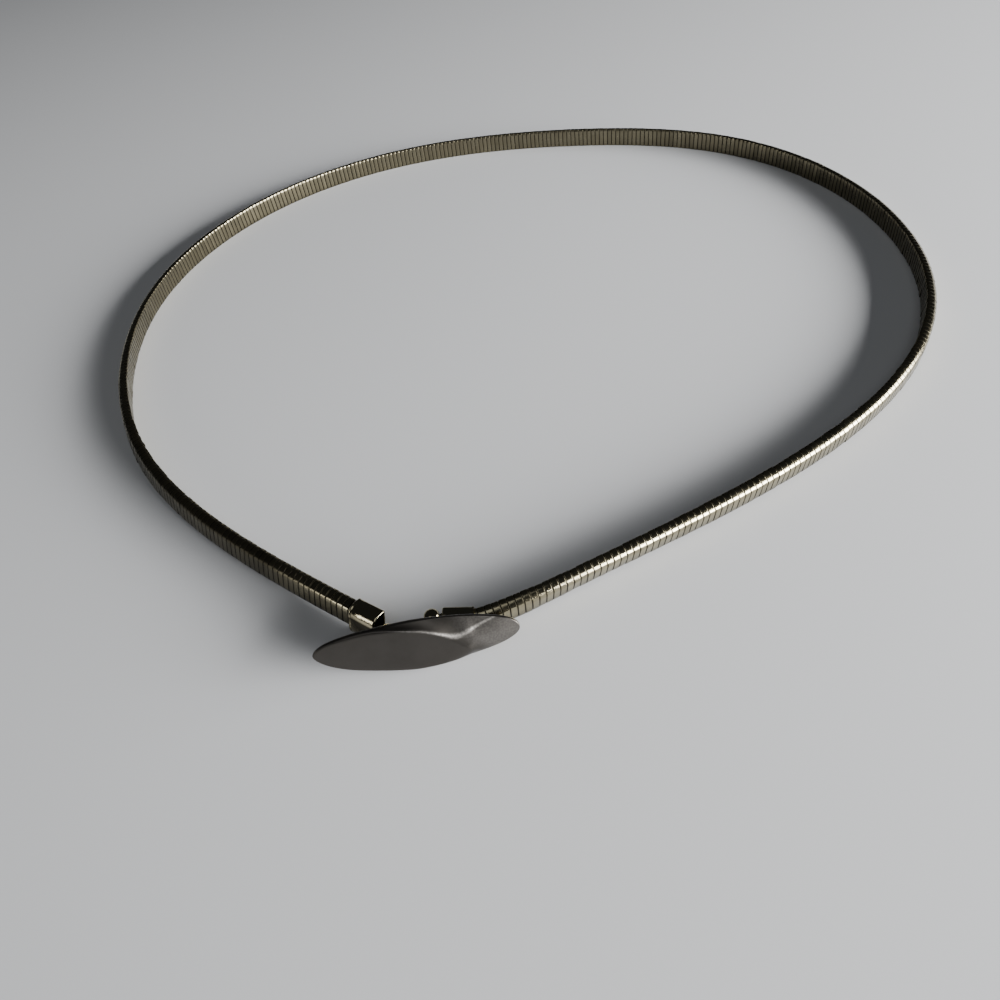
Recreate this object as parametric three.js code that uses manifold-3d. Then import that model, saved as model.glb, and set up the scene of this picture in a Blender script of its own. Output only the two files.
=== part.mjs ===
// Metal stretch belt, lying on its lower edge as a closed loop, fastened.
//
// A hollow ribbed coil band makes the waist loop. Each end is crimped into a ferrule. The right
// ferrule swivels on a pin behind an oval buckle plate, and a hook in the left ferrule catches a
// keeper bar behind the same plate.
//
// Millimetres, +Z up, the buckle faces -Y. The origin is at the middle of the footprint, on the
// surface that the belt lies on.

import * as THREE from 'three';
import { mergeVertices } from 'three/addons/utils/BufferGeometryUtils.js';
import Module from 'manifold-3d';

const wasm = await Module();
wasm.setup();

const DEG = Math.PI / 180;
const INCH = 25.4;
const GAP = 0.3; // clearance between neighbouring pieces

// Coil band: flattened coil of close turns, domed outer face, flat inner face.
const TURN_PITCH = INCH / 16;
const BAND_HEIGHT = 6.2;
const BAND_THICK = 2.4;
const RIB_DEPTH = 0.2; // how far the grooves between turns lie below the crests
const BORE = { height: 4.6, thick: 0.9, step: 9 };

// Centre line of the band seen from above, as control points of a cubic B-spline, from the left
// ferrule round the waist to the right ferrule. lean turns the outer face up, in degrees, and
// lift is the height of the lower edge above the surface. The first and last points lie inside
// the ferrules.
const ROUTE = [
  { x: -44.3, y: -104.9, lean: 18, lift: 0.9 },
  { x: -67.9, y: -84.9, lean: 19, lift: 0.1 },
  { x: -87.7, y: -65.4, lean: 18, lift: 0 },
  { x: -104.2, y: -43.1, lean: 17, lift: 0 },
  { x: -114.5, y: -17.5, lean: 12, lift: 0 },
  { x: -118.8, y: 10.3, lean: 7, lift: 0 },
  { x: -116.9, y: 38.0, lean: 4, lift: 0 },
  { x: -107.1, y: 63.9, lean: 2, lift: 0 },
  { x: -89.9, y: 86.1, lean: 0, lift: 0 },
  { x: -67.2, y: 102.3, lean: 0, lift: 0 },
  { x: -41.0, y: 111.8, lean: 0, lift: 0 },
  { x: -13.3, y: 114.5, lean: 0, lift: 0 },
  { x: 14.2, y: 111.4, lean: 0, lift: 0 },
  { x: 41.1, y: 104.2, lean: 0, lift: 0 },
  { x: 67.2, y: 93.9, lean: 0, lift: 0 },
  { x: 90.1, y: 78.4, lean: 0, lift: 0 },
  { x: 107.0, y: 56.4, lean: 1, lift: 0 },
  { x: 116.7, y: 30.2, lean: 2, lift: 0 },
  { x: 119.0, y: 2.3, lean: 2, lift: 0 },
  { x: 113.6, y: -25.2, lean: 1, lift: 0 },
  { x: 99.8, y: -49.3, lean: -1, lift: 0 },
  { x: 79.1, y: -68.0, lean: -3, lift: 0 },
  { x: 54.7, y: -81.5, lean: -5, lift: 0 },
  { x: 29.0, y: -91.8, lean: -10, lift: 0 },
  { x: 2.8, y: -100.6, lean: -15, lift: 0.1 },
  { x: -11.0, y: -105.6, lean: -10, lift: 0.2 },
  { x: -18.4, y: -107.5, lean: -3, lift: 0.2 },
  { x: -22.8, y: -108.6, lean: 0, lift: 0.2 },
  { x: -27.0, y: -107.8, lean: 0, lift: 0.2 },
];

// Ferrules: caps with a flat inner side and a rounded outer side, each placed at its mouth. The
// band is swaged to a smaller section where it is gripped.
const SOCKET_DEPTH = 4.2; // how far the band reaches into a ferrule
const SWAGE = { reach: SOCKET_DEPTH + 0.3, scale: 0.84 };
const FERRULE_LEFT = {
  x: -47.5, y: -102.6, heading: -39, lean: 18,
  length: 6.6, height: 7.6, thick: 3.8, corner: 0.5, shoulder: 2.2,
};
const FERRULE_RIGHT = {
  x: -23.0, y: -108.3, heading: 170, lean: 0,
  length: 6.4, height: 6.6, thick: 3.3, corner: 0.4, shoulder: 1.8,
};

// Buckle plate: an oval leaf that leans back, with a scooped bay above an S-shaped crease.
const PLATE = {
  centre: new THREE.Vector3(-34.8, -112.2, 5.5),
  lean: 22,
  halfLength: 20.4,
  halfHeight: 5.4,
  power: 1.9, // 2 is an ellipse, less is more pointed
  tipRise: 1.0, // how far the left tip turns up
  slim: 0.1, // the right half is this much leaner at its tip
  dome: 1.7,
  edge: 0.35,
  back: 0.4, // the rim's back face below the rim plane
};
const BAY = { from: -9.5, to: 16.8, depth: 1.35 };
// Height of the crease along the plate, in the plate's own plane.
const CREASE = [
  { u: -10.5, v: 4.9 },
  { u: -4.1, v: 3.6 },
  { u: 1.5, v: 2.4 },
  { u: 7.2, v: 0.1 },
  { u: 12.0, v: 1.1 },
  { u: 17.5, v: 3.0 },
];

// Swivel of the right ferrule and keeper bar for the hook, both behind the plate.
const PIN = { x: -31.2, y: -108.0, radius: 0.7, head: 1.55, dome: 1.0, foot: 1.2 };
const LUG = { bottom: 2.6, top: 6.3, radius: 1.7 };
const TAB = { thick: 0.8, width: 3.0 };
const KEEPER = { x: -37.2, y: -108.9, radius: 0.6, bottom: 1.8, top: 8.0, arm: 0.9 };
const HOOK = { thick: 0.8, height: 3.0, bottom: 3.0, root: 1.6 };

// Numbers along the route.

function splineWeights(f) {
  const g = 1 - f;
  return [g ** 3 / 6, (3 * f ** 3 - 6 * f ** 2 + 4) / 6,
    (-3 * f ** 3 + 3 * f ** 2 + 3 * f + 1) / 6, f ** 3 / 6];
}

// Value of one column of ROUTE at u, from 0 at the first row to 1 at the last.
function routeValue(key, u) {
  const last = ROUTE.length - 1;
  const value = (i) => {
    if (i < 0) return 2 * ROUTE[0][key] - ROUTE[1][key];
    if (i > last) return 2 * ROUTE[last][key] - ROUTE[last - 1][key];
    return ROUTE[i][key];
  };
  const span = Math.min(Math.floor(u * last), last - 1);
  const weights = splineWeights(u * last - span);
  return weights.reduce((sum, weight, k) => sum + weight * value(span - 1 + k), 0);
}

// Lengths along the route, so that stations can be set out at equal steps.
const SAMPLES = 4000;
const routeLengths = [0];
for (let i = 1; i <= SAMPLES; i += 1) {
  const [a, b] = [(i - 1) / SAMPLES, i / SAMPLES];
  const step = Math.hypot(routeValue('x', b) - routeValue('x', a), routeValue('y', b) - routeValue('y', a));
  routeLengths.push(routeLengths[i - 1] + step);
}
const BAND_LENGTH = routeLengths[SAMPLES];
const TURNS = Math.floor(BAND_LENGTH / TURN_PITCH);

function uAtLength(length) {
  let low = 0;
  let high = SAMPLES;
  while (high - low > 1) {
    const middle = (low + high) >> 1;
    if (routeLengths[middle] <= length) low = middle;
    else high = middle;
  }
  const span = routeLengths[high] - routeLengths[low];
  return (low + (length - routeLengths[low]) / span) / SAMPLES;
}

// Height of a leaning section's centre when its lowest corner is lift above the surface.
function centreHeight(height, thick, lean, lift) {
  return lift + (height / 2) * Math.cos(lean) + (thick / 2) * Math.abs(Math.sin(lean));
}

// Place of the band's section at a length: its centre and its outward and upward directions.
function station(length) {
  const u = uAtLength(length);
  const step = 1e-4;
  const [a, b] = [Math.max(u - step, 0), Math.min(u + step, 1)];
  const tangent = new THREE.Vector3(
    routeValue('x', b) - routeValue('x', a), routeValue('y', b) - routeValue('y', a), 0).normalize();
  const outward = new THREE.Vector3(-tangent.y, tangent.x, 0);
  const lean = routeValue('lean', u) * DEG;
  const up = new THREE.Vector3(0, 0, Math.cos(lean)).addScaledVector(outward, -Math.sin(lean));
  const across = outward.clone().multiplyScalar(Math.cos(lean));
  across.z = Math.sin(lean);
  const lift = Math.max(routeValue('lift', u), 0);
  const z = centreHeight(BAND_HEIGHT, BAND_THICK, lean, lift);
  return { centre: new THREE.Vector3(routeValue('x', u), routeValue('y', u), z), across, up };
}

// Corners of the band's section, outward and upward from its centre.
function sectionCorners(height, thick) {
  const [h, t] = [height / 2, thick / 2];
  return [[-t, -h], [-t, h], [0.4 * t, h], [t, 0], [0.4 * t, -h]];
}

function ringAt(length, fullHeight, fullThick) {
  const { centre, across, up } = station(length);
  const swaged = Math.min(length, BAND_LENGTH - length) < SWAGE.reach;
  const [height, thick] = [fullHeight, fullThick].map((size) => size * (swaged ? SWAGE.scale : 1));
  return sectionCorners(height, thick).map(([n, z]) => centre.clone()
    .addScaledVector(across, n)
    .addScaledVector(up, z));
}

// Closed skin round a list of rings, joined to a bore through the same ends.
function boredSweep(outerRings, boreRings) {
  const count = outerRings[0].length;
  const rings = [...outerRings, ...boreRings.slice().reverse()];
  const positions = rings.flat().flatMap((p) => [p.x, p.y, p.z]);
  const index = [];
  rings.forEach((ring, i) => {
    const next = (i + 1) % rings.length;
    for (let k = 0; k < count; k += 1) {
      const m = (k + 1) % count;
      const [a, b, c, d] = [i * count + k, i * count + m, next * count + m, next * count + k];
      index.push(a, c, b, a, d, c);
    }
  });
  const geometry = new THREE.BufferGeometry();
  geometry.setAttribute('position', new THREE.Float32BufferAttribute(positions, 3));
  geometry.setIndex(index);
  return geometry;
}

// Booleans.

function solidOf(geometry) {
  const bare = geometry.clone();
  bare.deleteAttribute('normal');
  bare.deleteAttribute('uv');
  const merged = mergeVertices(bare, 1e-4);
  return new wasm.Manifold(new wasm.Mesh({
    numProp: 3,
    vertProperties: new Float32Array(merged.attributes.position.array),
    triVerts: new Uint32Array(merged.index.array),
  }));
}

function geometryOf(solid) {
  const mesh = solid.getMesh();
  const geometry = new THREE.BufferGeometry();
  geometry.setAttribute('position', new THREE.BufferAttribute(mesh.vertProperties, 3));
  geometry.setIndex(new THREE.BufferAttribute(mesh.triVerts, 1));
  geometry.computeVertexNormals();
  return geometry;
}

function box(x0, x1, y0, y1, z0, z1) {
  const geometry = new THREE.BoxGeometry(x1 - x0, y1 - y0, z1 - z0);
  return geometry.translate((x0 + x1) / 2, (y0 + y1) / 2, (z0 + z1) / 2);
}

// Upright cylinder between two heights.
function post(x, y, radius, bottom, top, sides = 20) {
  const geometry = new THREE.CylinderGeometry(radius, radius, top - bottom, sides);
  return geometry.rotateX(Math.PI / 2).translate(x, y, (bottom + top) / 2);
}

// Outline of a ferrule's section: x is outward, y is up.
function ferruleOutline({ thick, height, corner: r, shoulder: s }) {
  const [t, h] = [thick / 2, height / 2];
  const outline = new THREE.Shape();
  outline.moveTo(-t + r, -h);
  outline.lineTo(t - s, -h);
  outline.absellipse(t - s, -h + 1.2 * s, s, 1.2 * s, -Math.PI / 2, 0, false, 0);
  outline.lineTo(t, h - 1.2 * s);
  outline.absellipse(t - s, h - 1.2 * s, s, 1.2 * s, 0, Math.PI / 2, false, 0);
  outline.lineTo(-t + r, h);
  outline.absarc(-t + r, h - r, r, Math.PI / 2, Math.PI, false);
  outline.lineTo(-t, -h + r);
  outline.absarc(-t + r, -h + r, r, Math.PI, Math.PI * 1.5, false);
  return outline;
}

// A ferrule lies along +X with the band entering at x = 0, and matrix puts it in place. side is
// 1 where its rounded side faces its own -Y, and -1 where it faces +Y.
function ferruleCap(ferrule, side) {
  const matrix = ferruleMatrix(ferrule);
  const body = new THREE.ExtrudeGeometry(ferruleOutline(ferrule), {
    depth: ferrule.length, bevelEnabled: false, curveSegments: 5,
  });
  // The outline's x (outward) becomes -Y or +Y, its y becomes Z, and it is drawn out along X.
  const shift = side > 0 ? ferrule.length : 0;
  body.applyMatrix4(new THREE.Matrix4().set(0, 0, -side, shift, -side, 0, 0, 0, 0, 1, 0, 0, 0, 0, 0, 1));
  const [t, h] = [BAND_THICK, BAND_HEIGHT].map((size) => (size * SWAGE.scale) / 2 + GAP);
  const socket = box(-1, SOCKET_DEPTH + GAP, -t, t, -h, h);
  return solidOf(body.applyMatrix4(matrix)).subtract(solidOf(socket.applyMatrix4(matrix)));
}

function ferruleMatrix({ x, y, heading, lean, height, thick }) {
  const turn = new THREE.Matrix4().makeRotationZ(heading * DEG);
  turn.multiply(new THREE.Matrix4().makeRotationX(-lean * DEG));
  const z = centreHeight(height, thick, lean * DEG, 0);
  return turn.setPosition(x, y, z);
}

function makeFerruleLeft() {
  // The slot stands upright in the leaning cap, as the hook does.
  const { x, y, heading, length } = FERRULE_LEFT;
  const slot = box(length - HOOK.root, length + 1,
    -HOOK.thick / 2 - GAP, HOOK.thick / 2 + GAP, HOOK.bottom - GAP, HOOK.bottom + HOOK.height + GAP);
  slot.rotateZ(heading * DEG).translate(x, y, 0);
  return ferruleCap(FERRULE_LEFT, 1).subtract(solidOf(slot));
}

// The right ferrule is a single cast piece with a flat lug, which turns round the pin.
function makeFerruleRight() {
  const matrix = ferruleMatrix(FERRULE_RIGHT);
  const end = new THREE.Vector3(FERRULE_RIGHT.length - 0.8, 0, 0).applyMatrix4(matrix);
  const along = new THREE.Vector2(PIN.x - end.x, PIN.y - end.y);
  const arm = box(0, along.length(), -0.8, 0.8, LUG.bottom, LUG.top);
  arm.rotateZ(Math.atan2(along.y, along.x)).translate(end.x, end.y, 0);
  const eye = post(PIN.x, PIN.y, LUG.radius, LUG.bottom, LUG.top, 28);
  const hole = post(PIN.x, PIN.y, PIN.radius + GAP, LUG.bottom - 1, LUG.top + 1);
  return ferruleCap(FERRULE_RIGHT, -1).add(solidOf(arm)).add(solidOf(eye)).subtract(solidOf(hole));
}

// Buckle plate.

function plateMid(u) {
  const left = Math.max(-u / PLATE.halfLength, 0);
  return PLATE.tipRise * left ** 2.5;
}

function leanness(u) {
  return 1 - PLATE.slim * Math.max(u / PLATE.halfLength, 0);
}

function plateHalf(u) {
  const inside = Math.max(1 - Math.abs(u / PLATE.halfLength) ** PLATE.power, 0);
  return PLATE.halfHeight * inside ** (1 / PLATE.power) * leanness(u);
}

function creaseAt(u) {
  const rows = CREASE;
  if (u <= rows[0].u) return rows[0].v;
  for (let i = 1; i < rows.length; i += 1) {
    if (u <= rows[i].u) {
      const f = (u - rows[i - 1].u) / (rows[i].u - rows[i - 1].u);
      const smooth = f * f * (3 - 2 * f);
      return rows[i - 1].v + (rows[i].v - rows[i - 1].v) * smooth;
    }
  }
  return rows[rows.length - 1].v;
}

// Height of the front above the rim plane: a dome, less the bay scooped out above the crease.
function plateFront(u, v) {
  const half = Math.max(plateHalf(u), 1e-6);
  const side = Math.min(Math.abs(v - plateMid(u)) / half, 1);
  const end = Math.min(Math.abs(u / PLATE.halfLength), 1);
  const dome = PLATE.dome * (1 - side ** 2) * (1 - end ** 2);
  const room = plateMid(u) + half - creaseAt(u);
  const above = v - creaseAt(u);
  if (above <= 0 || room <= 0 || u <= BAY.from || u >= BAY.to) return PLATE.edge + dome;
  const along = Math.sin(Math.PI * (u - BAY.from) / (BAY.to - BAY.from)) ** 0.7;
  const across = Math.sin(Math.PI * Math.min(above / room, 1)) ** 0.8;
  return PLATE.edge + Math.max(dome - BAY.depth * along * across, 0.02);
}

// Front and back skins on the same grid of rays and rings, closed round the rim.
function plateGeometry(rays, rings) {
  const positions = [];
  const index = [];
  const front = [0];
  const add = (u, v, w) => positions.push(u, v, w);
  add(0, 0, plateFront(0, 0));
  for (let i = 1; i <= rings; i += 1) {
    for (let k = 0; k < rays; k += 1) {
      const angle = (2 * Math.PI * k) / rays;
      const [c, s] = [Math.cos(angle), Math.sin(angle)];
      const u = (i / rings) * PLATE.halfLength * Math.sign(c) * Math.abs(c) ** (2 / PLATE.power);
      const reach = PLATE.halfHeight * leanness(u);
      const v = (i / rings) * reach * Math.sign(s) * Math.abs(s) ** (2 / PLATE.power);
      add(u, v + plateMid(u), plateFront(u, v + plateMid(u)));
    }
  }
  const total = 1 + rays * rings;
  add(0, 0, -PLATE.back);
  for (let k = 0; k < rays; k += 1) {
    const at = 3 * (1 + rays * (rings - 1) + k);
    add(positions[at], positions[at + 1], -PLATE.back);
  }
  const ring = (i, k) => (i === 0 ? front[0] : 1 + rays * (i - 1) + (k % rays));
  for (let k = 0; k < rays; k += 1) {
    index.push(ring(0), ring(1, k), ring(1, k + 1));
    for (let i = 1; i < rings; i += 1) {
      index.push(ring(i, k), ring(i + 1, k), ring(i + 1, k + 1));
      index.push(ring(i, k), ring(i + 1, k + 1), ring(i, k + 1));
    }
    const [a, b] = [total + 1 + k, total + 1 + ((k + 1) % rays)];
    index.push(ring(rings, k), a, b, ring(rings, k), b, ring(rings, k + 1));
    index.push(total, b, a);
  }
  const geometry = new THREE.BufferGeometry();
  geometry.setAttribute('position', new THREE.Float32BufferAttribute(positions, 3));
  geometry.setIndex(index);
  return geometry;
}

// Y of the plate's back at a height, for the fittings soldered to it.
function plateBackY(z) {
  const lean = PLATE.lean * DEG;
  return PLATE.centre.y + (z - PLATE.centre.z) * Math.tan(lean) + PLATE.back / Math.cos(lean);
}

// A bar from inside the plate's back to a place behind it, at one height.
function backArm(x, y, width, bottom, top) {
  const start = plateBackY(bottom) - 0.5;
  return solidOf(box(x - width / 2, x + width / 2, start, y, bottom, top));
}

function makeBucklePlate() {
  const skin = plateGeometry(44, 7);
  skin.rotateX((90 - PLATE.lean) * DEG);
  skin.translate(PLATE.centre.x, PLATE.centre.y, PLATE.centre.z);
  let solid = solidOf(skin);
  const tabs = [LUG.bottom - GAP - TAB.thick, LUG.top + GAP];
  tabs.forEach((bottom) => {
    const top = bottom + TAB.thick;
    solid = solid.add(backArm(PIN.x, PIN.y, TAB.width, bottom, top));
    solid = solid.add(solidOf(post(PIN.x, PIN.y, TAB.width / 2, bottom, top)));
  });
  const hole = post(PIN.x, PIN.y, PIN.radius + GAP, tabs[0] - 0.5, tabs[1] + TAB.thick + 1);
  solid = solid.subtract(solidOf(hole));
  [KEEPER.bottom, KEEPER.top - KEEPER.arm].forEach((bottom) => {
    const width = 2 * KEEPER.radius;
    solid = solid.add(backArm(KEEPER.x, KEEPER.y, width, bottom, bottom + KEEPER.arm));
  });
  solid = solid.add(solidOf(post(KEEPER.x, KEEPER.y, KEEPER.radius, KEEPER.bottom, KEEPER.top)));
  return solid;
}

// Pin with a domed head above the upper tab and a flat foot below the lower one.
function makeSwivelPin() {
  const foot = LUG.bottom - GAP - TAB.thick - GAP;
  const head = LUG.top + GAP + TAB.thick + GAP;
  const profile = [new THREE.Vector2(0, foot - 0.6), new THREE.Vector2(PIN.foot, foot - 0.6),
    new THREE.Vector2(PIN.foot, foot), new THREE.Vector2(PIN.radius, foot),
    new THREE.Vector2(PIN.radius, head), new THREE.Vector2(PIN.head, head)];
  for (let k = 1; k <= 4; k += 1) {
    const angle = (k * Math.PI) / 8;
    const radius = k === 4 ? 0 : PIN.head * Math.cos(angle);
    profile.push(new THREE.Vector2(radius, head + PIN.dome * Math.sin(angle)));
  }
  const geometry = new THREE.LatheGeometry(profile, 20);
  geometry.rotateX(Math.PI / 2).translate(PIN.x, PIN.y, 0);
  return solidOf(geometry);
}

// A strip on edge: its middle line seen from above, thickened to both sides.
function stripOutline(points, thick) {
  const left = [];
  const right = [];
  points.forEach((point, i) => {
    const before = points[Math.max(i - 1, 0)];
    const after = points[Math.min(i + 1, points.length - 1)];
    const normal = new THREE.Vector2(before.y - after.y, after.x - before.x).normalize();
    left.push(point.clone().addScaledVector(normal, thick / 2));
    right.unshift(point.clone().addScaledVector(normal, -thick / 2));
  });
  return new THREE.Shape([...left, ...right]);
}

// Hook: a strip from the left ferrule that runs past the keeper bar and turns back round it.
function makeHook() {
  const matrix = ferruleMatrix(FERRULE_LEFT);
  const { length } = FERRULE_LEFT;
  const root = new THREE.Vector3(length - HOOK.root + GAP, 0, 0).applyMatrix4(matrix);
  const mouth = new THREE.Vector3(length + 0.4, 0, 0).applyMatrix4(matrix);
  const bend = KEEPER.radius + GAP + HOOK.thick / 2;
  const points = [new THREE.Vector2(root.x, root.y), new THREE.Vector2(mouth.x, mouth.y)];
  for (let k = 0; k <= 8; k += 1) {
    const angle = (80 - k * 30) * DEG;
    const x = KEEPER.x + bend * Math.cos(angle);
    points.push(new THREE.Vector2(x, KEEPER.y + bend * Math.sin(angle)));
  }
  const geometry = new THREE.ExtrudeGeometry(stripOutline(points, HOOK.thick), {
    depth: HOOK.height, bevelEnabled: false,
  });
  geometry.translate(0, 0, HOOK.bottom);
  return solidOf(geometry);
}

function makeCoilBand() {
  const outer = [];
  for (let i = 0; i <= 2 * TURNS; i += 1) {
    const inset = i % 2 === 0 ? 2 * RIB_DEPTH : 0;
    const length = (i / (2 * TURNS)) * BAND_LENGTH;
    outer.push(ringAt(length, BAND_HEIGHT - inset, BAND_THICK - inset));
  }
  const steps = Math.round(BAND_LENGTH / BORE.step);
  const bore = [];
  for (let i = 0; i <= steps; i += 1) {
    bore.push(ringAt((i / steps) * BAND_LENGTH, BORE.height, BORE.thick));
  }
  return solidOf(boredSweep(outer, bore));
}

const PALE_GOLD = new THREE.MeshStandardMaterial({ color: 0xc9bd92, metalness: 1, roughness: 0.22 });
const BRIGHT_GOLD = new THREE.MeshStandardMaterial({ color: 0xc8b274, metalness: 1, roughness: 0.1 });
const SATIN_GOLD = new THREE.MeshStandardMaterial({ color: 0x9c9184, metalness: 1, roughness: 0.3 });

function namedMesh(name, solid, material) {
  const mesh = new THREE.Mesh(geometryOf(solid), material);
  mesh.name = name;
  return mesh;
}

const belt = new THREE.Group();
belt.add(namedMesh('coil_band', makeCoilBand(), PALE_GOLD));
belt.add(namedMesh('ferrule_left', makeFerruleLeft(), BRIGHT_GOLD));
belt.add(namedMesh('ferrule_right', makeFerruleRight(), BRIGHT_GOLD));
belt.add(namedMesh('buckle_plate', makeBucklePlate(), SATIN_GOLD));
belt.add(namedMesh('swivel_pin', makeSwivelPin(), BRIGHT_GOLD));
belt.add(namedMesh('hook', makeHook(), BRIGHT_GOLD));

export default belt;
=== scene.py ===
# %% [markdown]
# # A metal stretch belt
#
# The belt is a closed loop of springy coil band that stands on its lower edge. Its two ends are
# gripped in polished caps, and an oval leaf of metal hides the fastening between them. The packed
# CAD model is loaded first, and every piece below is worked out in that same frame, in metres.

# %% Load the frame
import bpy
import numpy as np
from mathutils import Matrix


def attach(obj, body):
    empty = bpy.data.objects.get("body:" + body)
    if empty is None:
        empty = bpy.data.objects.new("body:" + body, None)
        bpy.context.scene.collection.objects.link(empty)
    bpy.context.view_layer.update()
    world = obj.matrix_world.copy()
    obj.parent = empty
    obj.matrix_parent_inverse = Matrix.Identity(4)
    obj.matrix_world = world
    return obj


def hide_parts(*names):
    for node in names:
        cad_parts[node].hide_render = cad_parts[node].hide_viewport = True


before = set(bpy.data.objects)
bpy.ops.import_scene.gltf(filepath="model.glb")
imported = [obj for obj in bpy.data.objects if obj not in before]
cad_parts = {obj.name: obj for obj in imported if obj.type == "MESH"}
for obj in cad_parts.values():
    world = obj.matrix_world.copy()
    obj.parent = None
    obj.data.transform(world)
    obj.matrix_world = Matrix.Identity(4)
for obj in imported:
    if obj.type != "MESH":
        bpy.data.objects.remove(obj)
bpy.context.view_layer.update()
print("CAD nodes:", sorted(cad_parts))

MM = 0.001
INCH = 25.4
UP = np.array([0.0, 0.0, 1.0])

# %% [markdown]
# ## The camera
#
# The photograph was taken from close above the buckle with a wide view, looking down at about 48
# degrees with the camera rolled a little. The camera could be lined up by hand, but the turns of
# the band repeat at one even pitch, and that gives its place and its lens. A camera's matrix
# holds its right, up and backward directions as columns, so it is set from the pitch and the roll.

# %% Camera at the photograph's angle
CAMERA_FOOT = (-14.0, -191.9)
CAMERA_HEIGHT = 131.4
CAMERA_PITCH = np.radians(48.1)
CAMERA_ROLL = np.radians(-9.82)
FOCAL_OVER_WIDTH = 0.751
SENSOR = 36.0


def camera_axes(pitch, roll):
    """Right, up and forward directions of a camera that looks along +Y, pitch below level,
    turned by roll about its own line of sight."""
    forward = np.array([0.0, np.cos(pitch), -np.sin(pitch)])
    level_up = np.array([0.0, np.sin(pitch), np.cos(pitch)])
    level_right = np.array([1.0, 0.0, 0.0])
    right = np.cos(roll) * level_right + np.sin(roll) * level_up
    up = np.cos(roll) * level_up - np.sin(roll) * level_right
    return right, up, forward


def make_camera():
    """The scene's camera: right, up, backward and place are the columns of its matrix."""
    data = bpy.data.cameras.new("camera")
    data.sensor_width = SENSOR
    data.lens = SENSOR * FOCAL_OVER_WIDTH
    data.clip_start = 0.005
    data.clip_end = 20.0
    camera = bpy.data.objects.new("camera", data)
    bpy.context.scene.collection.objects.link(camera)
    right, up, forward = camera_axes(CAMERA_PITCH, CAMERA_ROLL)
    place = np.array([*CAMERA_FOOT, CAMERA_HEIGHT]) * MM
    matrix = np.eye(4)
    matrix[:3] = np.stack([right, up, -forward, place], axis=1)
    camera.matrix_world = Matrix(matrix.tolist())
    bpy.context.scene.camera = camera
    return camera


camera = make_camera()
print("camera at", [round(c, 4) for c in camera.location], "lens", round(camera.data.lens, 2))

# %% [markdown]
# ## Meshes from arrays
#
# Every piece is a stack of rings: each ring is a closed row of points, and neighbouring rings are
# joined by four-sided faces. Blender takes the whole array at once, which is much faster than
# adding one vertex after another. If the enclosed volume comes out negative the faces look
# inwards, so their order is turned round.

# %% Rings to a closed mesh


def signed_volume(points, faces):
    """Volume inside a closed surface: a sixth of the sum over triangles of a . (b x c)."""
    total = 0.0
    corners = faces.shape[1]
    for k in range(1, corners - 1):
        a, b, c = points[faces[:, 0]], points[faces[:, k]], points[faces[:, k + 1]]
        total += np.einsum("ij,ij->", a, np.cross(b, c)) / 6
    return total


def loft(name, rings, ends="caps", sharp=35.0, point_values=None):
    """One closed mesh from rings, an array of shape (rings, points, 3) in millimetres.

    ends is "caps" for a fan to the middle of the first and the last ring, or "loop" where the
    last ring joins the first. point_values names extra numbers, one for each ring point.
    """
    count, around = rings.shape[:2]
    points = rings.reshape(-1, 3)
    i = np.arange(count if ends == "loop" else count - 1)[:, None]
    k = np.arange(around)[None, :]
    near, far = i * around, ((i + 1) % count) * around
    quads = np.stack([near + k, near + (k + 1) % around, far + (k + 1) % around, far + k], axis=-1)
    quads = quads.reshape(-1, 4)
    fans = np.zeros((0, 3), int)
    if ends == "caps":
        first, last = len(points), len(points) + 1
        points = np.vstack([points, rings[0].mean(axis=0), rings[-1].mean(axis=0)])
        edge = np.arange(around)
        tail = (count - 1) * around
        start = np.stack([np.full(around, first), (edge + 1) % around, edge], axis=1)
        stop = np.stack([np.full(around, last), tail + edge, tail + (edge + 1) % around], axis=1)
        fans = np.vstack([start, stop])
    volume = signed_volume(points, quads)
    volume += signed_volume(points, fans) if len(fans) else 0.0
    if volume < 0:
        quads, fans = quads[:, ::-1], fans[:, ::-1]
    mesh = bpy.data.meshes.new(name)
    mesh.from_pydata((points * MM).tolist(), [], quads.tolist() + fans.tolist())
    mesh.shade_smooth()
    mesh.set_sharp_from_angle(angle=np.radians(sharp))
    for key, values in (point_values or {}).items():
        numbers = np.zeros(len(points), np.float32)
        numbers[:count * around] = np.asarray(values, np.float32).reshape(-1)
        mesh.attributes.new(key, "FLOAT", "POINT").data.foreach_set("value", numbers)
    piece = bpy.data.objects.new(name, mesh)
    bpy.context.scene.collection.objects.link(piece)
    print(name, len(quads) * 2 + len(fans), "triangles,", round(abs(volume), 1), "mm3")
    return piece


# %% [markdown]
# ## Where the band runs
#
# A belt left on a table makes a smooth loop with no corners. A cubic B-spline gives such a line
# from a short table of points, and its curvature never jumps. The table also holds how far the
# band leans and how high its lower edge sits. The turns are spaced by length, so the line's
# length is added up first and then read backwards.

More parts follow.
